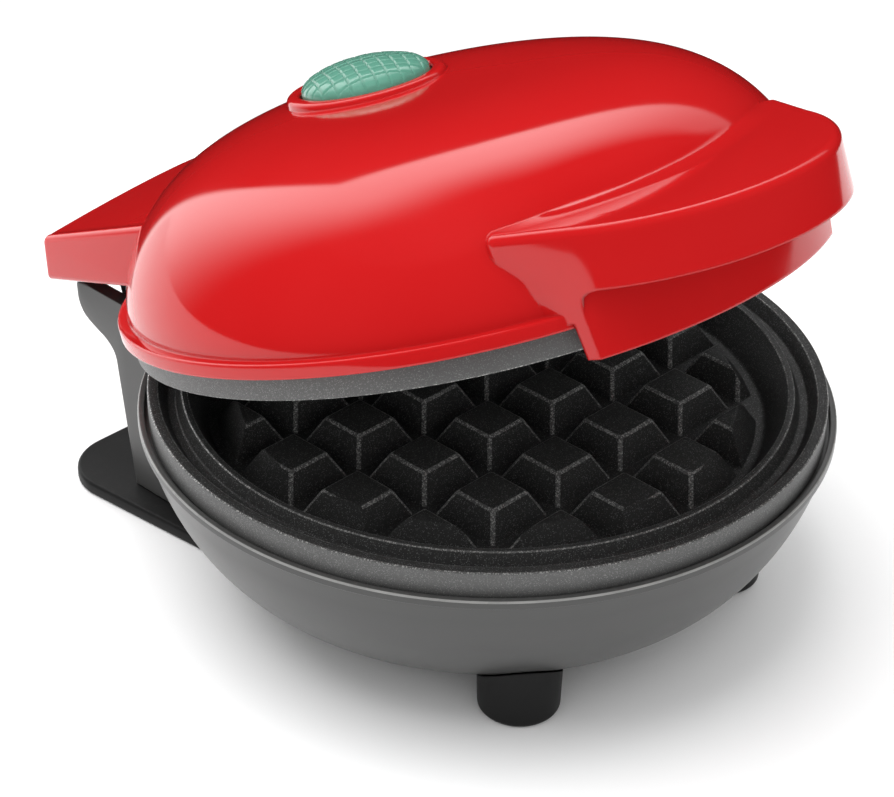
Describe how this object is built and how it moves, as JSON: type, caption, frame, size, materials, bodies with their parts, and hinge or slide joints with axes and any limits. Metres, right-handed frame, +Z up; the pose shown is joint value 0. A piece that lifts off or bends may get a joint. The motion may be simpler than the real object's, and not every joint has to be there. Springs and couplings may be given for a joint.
{
  "type": "waffle maker",
  "caption": "Small round waffle maker: bowl-shaped base, hinged dome lid standing partly open, gridded plates, front handle, domed indicator lens, flat rear stand.",
  "frame": {"origin": "underside of the stand plate, on the surface that the object stands on, under the middle of the bowl", "axes": "+Z up, +Y towards the hinge, +X to the right of someone who faces +Y; the handle points to -Y"},
  "size_m": [0.127, 0.1499, 0.1059],
  "materials": {
    "red_plastic": "glossy red",
    "grey_plastic": "satin dark grey",
    "black_plastic": "semi-gloss black",
    "nonstick": "speckled dark non-stick coating on cast aluminium",
    "steel": "zinc-plated",
    "sheath": "dull, heat-stained",
    "sheet": "bright rolled sheet",
    "ceramic": "off-white ceramic",
    "sleeving": "woven heat-proof sleeving",
    "rubber": "black",
    "mint_plastic": "translucent, moulded facets",
    "lamp_glass": "clear"
  },
  "bodies": {
    "base": {"lower_housing": "grey_plastic", "lower_plate": "nonstick", "lower_element": "sheath", "lower_heat_shield": "sheet", "lower_plate_screw_1": "steel", "lower_plate_screw_2": "steel", "lower_plate_screw_3": "steel", "thermostat": "ceramic", "thermal_fuse": "steel", "terminal_block": "ceramic", "element_lead_left": "sleeving", "element_lead_right": "sleeving", "cord_gland": "rubber", "stand_plate": "black_plastic", "stand_screw_1": "steel", "stand_screw_2": "steel", "stand_screw_3": "steel", "stand_screw_4": "steel", "front_foot_left": "black_plastic", "front_foot_right": "black_plastic", "hinge_pin_left": "steel", "hinge_pin_right": "steel"},
    "lid": {"lid_shell": "red_plastic", "upper_plate": "nonstick", "upper_element": "sheath", "upper_heat_shield": "sheet", "upper_plate_screw_1": "steel", "upper_plate_screw_2": "steel", "upper_plate_screw_3": "steel", "upper_shield_screw_1": "steel", "upper_shield_screw_2": "steel", "upper_shield_screw_3": "steel", "hinge_arm_left": "black_plastic", "hinge_arm_right": "black_plastic", "arm_screw_left": "steel", "arm_screw_right": "steel", "indicator_lens": "mint_plastic", "indicator_lamp": "lamp_glass", "lamp_holder": "ceramic"}
  },
  "joints": [
    {"name": "lid_hinge", "type": "hinge", "parent": "base", "child": "lid", "pos_m": [0, 0.0615, 0.0379], "axis": [-1, 0, 0], "range_deg": [-19, 76]}
  ]
}
